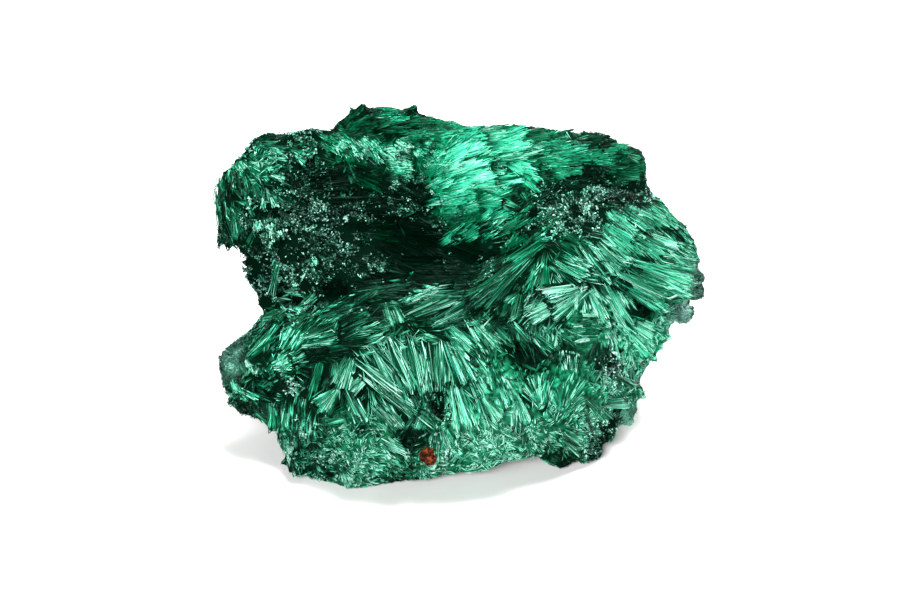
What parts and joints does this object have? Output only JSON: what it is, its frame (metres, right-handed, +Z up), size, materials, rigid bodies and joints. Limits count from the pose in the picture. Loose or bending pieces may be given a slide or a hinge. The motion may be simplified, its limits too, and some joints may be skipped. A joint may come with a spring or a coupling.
{
  "type": "fibrous malachite specimen",
  "caption": "Natural lump of fibrous malachite: fans of silky green needle crystals grown over a rough mass with a dark hollow, standing on the low spots of its underside.",
  "frame": {"origin": "middle of the footprint, on the plane that it rests on", "axes": "+X along its length to its right end, +Y from its display side to its back, +Z up"},
  "size_m": [0.062, 0.0512, 0.0345],
  "materials": {
    "malachite": "silky, fibrous green with near black-green hollows",
    "iron_oxide": "dull, earthy rust brown"
  },
  "bodies": {
    "root": {"malachite_specimen": "malachite"}
  },
  "joints": []
}
